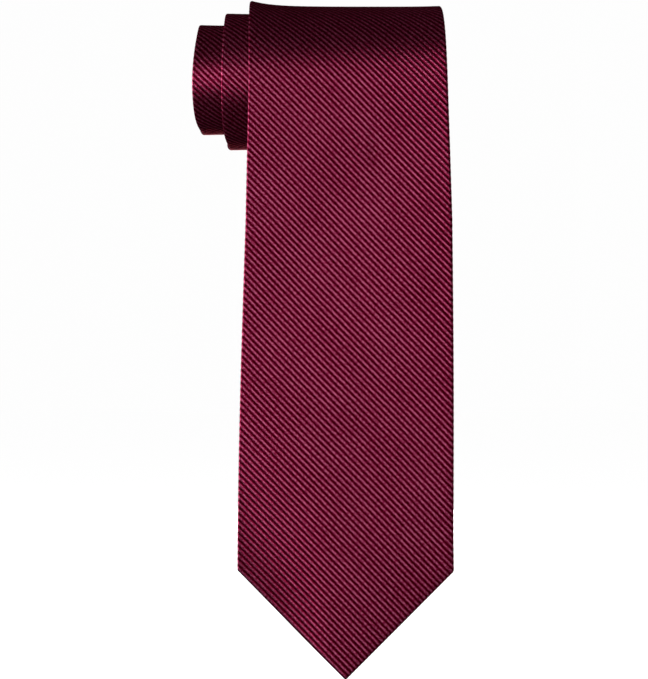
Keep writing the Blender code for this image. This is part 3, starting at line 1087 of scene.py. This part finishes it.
    def keeper(self) -> bpy.types.Object:
        """Builds the keeper loop, a flattened tube of the tie's own cloth, sewn down at both ends."""
        low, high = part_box("keeper_left_end")[0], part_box("keeper_right_end")[1]
        tall = high.z - low.z
        base = low.z + self.cloth.path.hanging
        x = np.linspace(low.x, high.x, 150)
        ring, thick, round_share = 60, self.keeper_wall, 0.1
        turn = np.arange(ring) / ring * 2
        once = np.where(turn < 1, turn, turn - 1)
        straight = np.clip((once - round_share) / (1 - 2 * round_share), 0, 1)
        past = np.minimum(once, 1 - once) / round_share * math.pi / 2
        bend = np.where(once > 1 - round_share, math.pi / 2 - past, 0)
        bend = np.where(once < round_share, past - math.pi / 2, bend)
        flat = tall / 2 - thick
        sign = np.where(turn < 1, 1.0, -1.0)
        up = sign * (-flat + 2 * flat * straight + thick * np.sin(bend))
        out = (sign * thick * np.cos(bend))[None, :]
        inner = (x - low.x) / (high.x - low.x)
        bow = self.keeper_bow * smooth(np.minimum(inner, 1 - inner) / 0.2)
        s = base + tall / 2 + up[None, :] + 0 * x[:, None]
        across = x[:, None] + 0 * s
        rib = self.weave.height(up[None, :] + across, 0 * across) * self.keeper_relief
        depth = self.cloth.thick + 0.2 * MM + thick + bow[:, None] + out
        depth = depth + np.sign(out) * rib * (np.abs(out) > 0.5 * thick)
        points = self.cloth.path.place(s, across - self.cloth.path.middle(s), depth).reshape(-1, 3)
        uv = np.stack([across, up[None, :] + 0 * across], axis=-1).reshape(-1, 2)
        faces = grid_faces(len(x), ring, closed=True)
        ends = []
        for first, order in ((0, 1), ((len(x) - 1) * ring, -1)):
            for k in range(ring // 2):
                quad = [first + k, first + (k + 1) % ring, first + ring - 2 - k, first + ring - 1 - k]
                ends.append(quad[::order])
        faces = np.concatenate([faces, np.array(ends)])
        piece = make_object("keeper_loop_cloth", points, faces, uv, self.repp)
        face_outwards(piece)
        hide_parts("keeper_loop", "keeper_left_end", "keeper_right_end")
        return piece

    def bar_tack(self, name: str, node: str, place: tuple, size: tuple, upright: bool) -> bpy.types.Object:
        """Builds a bar tack: a close row of short stitches over a core.

        Args:
            name: The piece's name.
            node: The node that it stands for.
            place: Its middle: distance from the tie's tip, sideways place, and depth under the tie's face.
            size: Its length along the row of stitches, and across it.
            upright: Whether the row runs along the tie.

        Returns:
            The new object.
        """
        path, (s_mid, x_mid, depth) = self.cloth.path, place
        stitches = max(int(size[0] / self.tack_pitch), 3)
        t = np.linspace(0, 1, stitches * 12 + 1)
        run = (t - 0.5) * size[0]
        swing = 0.5 * size[1] * np.cos(TURN * t * stitches)
        lift = self.tack_lift * np.abs(np.sin(TURN * t * stitches))
        along, over = (run, swing) if upright else (swing, run)
        lean = path.middle(np.array([s_mid])) if s_mid < path.hanging else 0
        line = path.place(s_mid + along, x_mid + over - lean, depth + lift)
        piece = tube(name, line, self.tack_radius, self.thread, sides=5)
        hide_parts(node)
        return piece

    def slack_loop(self) -> bpy.types.Object:
        """Builds the loop of spare thread at the start of the slip stitch."""
        low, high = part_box("slack_loop")
        middle = (low.z + high.z) / 2 + self.cloth.path.hanging
        turn = np.linspace(0.5 * math.pi + 0.25, 2.5 * math.pi - 0.25, 60)
        s = middle + 5.6 * MM * np.sin(turn)
        x = 2.2 * MM * np.cos(turn) * (1 + 0.25 * np.sin(turn)) + 0.5 * MM * np.cos(2 * turn)
        depth = self.cloth.thick + 0.42 * MM + 0.3 * MM * np.sin(turn * 1.5)
        line = self.cloth.path.place(s, x, depth)
        piece = tube("slack_loop_thread", line, self.loop_radius, self.thread, sides=8)
        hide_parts("slack_loop")
        return piece

    def build(self, tip: Stretch) -> list[bpy.types.Object]:
        """Builds every trimming, attaches most to a body and bakes those at the wide end in place.

        Args:
            tip: The stretch at the wide end; the trimmings there are baked in place as its pieces are.

        Returns:
            The trimmings.
        """
        thick, path = self.cloth.thick, self.cloth.path
        at_tip = (113.6 * MM, 0.0, thick + 0.25 * MM)
        on_tip = [
            self.tipping("blade_tipping_satin", "blade_tipping", 9 * MM, 111 * MM, False),
            self.bar_tack("blade_bar_tack_thread", "blade_bar_tack", at_tip, (8 * MM, 2.2 * MM), False),
            self.slack_loop(),
        ]
        for piece in on_tip:
            tip.follow(piece)
        on_blade = []
        for side in ("left", "right"):
            node = f"keeper_{side}_tack"
            low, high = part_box(node)
            place = ((low.z + high.z) / 2 + path.hanging, (low.x + high.x) / 2, thick + 1.3 * MM)
            on_blade.append(self.bar_tack(f"keeper_{side}_bar_tack", node, place, (10 * MM, 1.6 * MM), True))
        on_blade += [self.maker_label(), self.keeper()]
        for piece in on_blade:
            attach(piece, "blade")
        care = self.care_label()
        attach(care, "care_label")
        at_tail = (1373.5 * MM, 0.0, thick - 0.1 * MM)
        on_core = [
            self.tipping("tail_tipping_satin", "tail_tipping", 1379 * MM, 1441 * MM, True),
            self.bar_tack("tail_bar_tack_thread", "tail_bar_tack", at_tail, (2.6 * MM, 1.6 * MM), False),
        ]
        for piece in on_core:
            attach(piece, "core")
        return [*on_tip, *on_blade, care, *on_core]


# ---------------------------------------------------------------- studio


@dataclass
class Studio:
    """The floor, the light and the camera."""

    view_height: float = 298.83 * MM
    distance: float = 1.0
    sensor: float = 36.0  # millimetres, along the taller side of the picture
    left: float = -10.1 * MM
    drop: float = -117.4 * MM
    floor_gap: float = 60 * MM
    air: float = 0.045
    # each box light's name, place, width and height, and power
    boxes: tuple = (
        ("front_box", (-0.01, -1.3, -0.05), (0.5, 0.95), 4.45),
        ("left_box", (-1.7, -0.2, -0.1), (0.9, 0.9), 24),
        ("right_box", (1.7, 0.2, -0.1), (0.9, 0.9), 2.5),
        ("back_box", (0.2, 1.7, -0.15), (1.3, 1.3), 16),
    )

    def backdrop(self, depth: float) -> None:
        """Lays a pale floor, and sets a pale dome round the tie, which are seen but don't light it.

        Args:
            depth: The floor's height, below zero.
        """
        bpy.ops.object.select_all(action="DESELECT")
        bpy.ops.mesh.primitive_plane_add(size=12, location=(0, 0, depth))
        floor = bpy.context.object
        floor.name = "studio_floor"
        # Painted board: a flat, nearly white surface with no gloss.
        made, _, shader = blank("pale_floor_paint")
        shader.inputs["Base Color"].default_value = linear("f4f4f4")
        shader.inputs["Roughness"].default_value = 0.8
        shader.inputs["Emission Color"].default_value = linear("fdfdfd")
        shader.inputs["Emission Strength"].default_value = 0.96
        floor.visible_glossy = floor.visible_diffuse = False
        floor.data.materials.append(made)
        bpy.ops.mesh.primitive_uv_sphere_add(segments=48, ring_count=24, radius=5.5, location=(0, 0, 0))
        dome = bpy.context.object
        dome.name = "studio_dome"
        # Lit backdrop cloth: an even white without folds.
        glow, _, shader = blank("pale_dome_cloth")
        shader.inputs["Base Color"].default_value = (0, 0, 0, 1)
        shader.inputs["Emission Color"].default_value = linear("fdfdfd")
        shader.inputs["Emission Strength"].default_value = 1.0
        dome.data.materials.append(glow)
        for light_path in ("diffuse", "glossy", "transmission", "shadow"):
            setattr(dome, f"visible_{light_path}", False)

    def lamp(self, name: str, place: tuple, size: tuple, power: float) -> None:
        """Hangs a soft box light that faces the middle of the tie.

        Args:
            name: The light's name.
            place: Where it hangs, in metres.
            size: Its width and height.
            power: Its power, in watts.
        """
        data = bpy.data.lights.new(name, "AREA")
        data.shape, data.energy = "RECTANGLE", power
        data.size, data.size_y = size
        lamp = bpy.data.objects.new(name, data)
        lamp.location = place
        toward = Vector((0, BLADE_FACE_Y, -0.12)) - Vector(place)
        lamp.rotation_euler = toward.to_track_quat("-Z", "Y").to_euler()
        bpy.context.scene.collection.objects.link(lamp)

    def camera(self) -> None:
        """Sets the camera level with the tie's middle, straight in front."""
        data = bpy.data.cameras.new("studio_camera")
        data.sensor_width = self.sensor
        data.lens = self.sensor * self.distance / self.view_height
        camera = bpy.data.objects.new("studio_camera", data)
        camera.location = (self.left, BLADE_FACE_Y - self.distance, self.drop)
        camera.rotation_euler = (math.radians(90), 0, 0)
        bpy.context.scene.collection.objects.link(camera)
        bpy.context.scene.camera = camera

    def build(self) -> None:
        """Sets up the studio round the tie."""
        scene = bpy.context.scene
        scene.view_settings.view_transform = "Standard"
        world = bpy.data.worlds.new("studio_air")
        world.use_nodes = True
        background = world.node_tree.nodes["Background"]
        background.inputs["Color"].default_value = (1, 1, 1, 1)
        background.inputs["Strength"].default_value = self.air
        scene.world = world
        self.backdrop(CAD_BOX[0].z - self.floor_gap)
        for box in self.boxes:
            self.lamp(*box)
        self.camera()


# ---------------------------------------------------------------- main


def stretches(path: StripPath) -> list[Stretch]:
    """Divides the tie into stretches that each ride on one body, or are marked as bending across one joint.

    Args:
        path: The line that the tie follows.

    Returns:
        The stretches, from the blade's tip to the tail's.
    """
    blend, ride = Way.BLEND, Way.RIDE
    face = BLADE_FACE_Y
    fold, lift = (JOINTS[name]["pos_m"][2] for name in ("tip_fold", "blade_lift"))
    at_fold = ((0, face, fold + 3 * MM), (0, face, fold - 17 * MM))
    at_lift = ((0, face, lift + 6 * MM), (0, face, lift - 17 * MM))
    outer_slide = ((0, 0, 6 * MM), (0, 0, -20 * MM))
    inner_slide = ((0, 0, 5 * MM), (0, 0, -16 * MM))
    outer, middle, back, inner = (path.distance(degrees) for degrees in (140, 290, 500, 650))
    blade, neck, tail = 192 * MM, 800 * MM, 1130 * MM
    spare = 14 * MM  # past each point, so that no hem cloth is cut off

    def nodes(stem: str) -> dict[str, tuple]:
        """The names of the nodes that a stretch's layers stand for."""
        return {
            "shell": (f"{stem}_shell",),
            "interlining": (f"{stem}_interlining",),
            "stitch": (f"{stem}_slip_stitch",),
        }

    return [
        Stretch("tip", -spare, blade, blend, ("blade", "tip"), at_fold, ("tip_shell",), ("tip_interlining",)),
        Stretch("blade", blade, outer, blend, ("roll", "blade"), at_lift, **nodes("blade")),
        Stretch("outer_turn", outer, middle, blend, ("roll", "middle_turn"), outer_slide,
                **nodes("outer_turn")),
        Stretch("middle_turn", middle, back, ride, ("middle_turn",), **nodes("middle_turn")),
        Stretch("middle_back", back, inner, blend, ("middle_turn", "core"), inner_slide),
        Stretch("inner_turn", inner, neck, ride, ("core",), (), ("inner_turn_shell",), ("core_interlining",),
                ("core_slip_stitch",), 0.7),
        Stretch("neck", neck, tail, ride, ("core",), shell=("neck_shell",), relief=0.5),
        Stretch("tail", tail, path.tie_length + spare, ride, ("core",), shell=("tail_shell",), relief=0.5),
    ]


def main() -> None:
    """Builds the studio, the strip of cloth and its trimmings, and reports each piece."""
    logging.basicConfig(level=logging.INFO)
    Studio().build()
    path = StripPath()
    cloth = FoldedCloth(path)
    weave = ReppWeave()
    repp, felt = weave.make(), BrushedFelt().make()
    satin = WovenRibbon("satin_tipping", "7c1a3c", "3e0a1c", roughness=0.34, gloss=0.6).make()
    thread = TwistedThread("maroon_sewing_thread", "7a1c3c", "3f0819").make()
    label = WovenRibbon("black_woven_label", "2c292b", "121012", roughness=0.34).make()
    care = WovenRibbon("white_nylon_ribbon", "f2f0ec", "cfccc6", roughness=0.45).make()
    parts = stretches(path)
    made = StripLayers(cloth, weave, repp, felt, thread).build(parts)
    made += Trimmings(cloth, weave, repp, satin, thread, label, care).build(parts[0])
    for piece in made:
        LOG.info("%s: %d faces, %s", piece.name, len(piece.data.polygons), piece.data.materials[0].name)


if __name__ == "__main__":
    main()
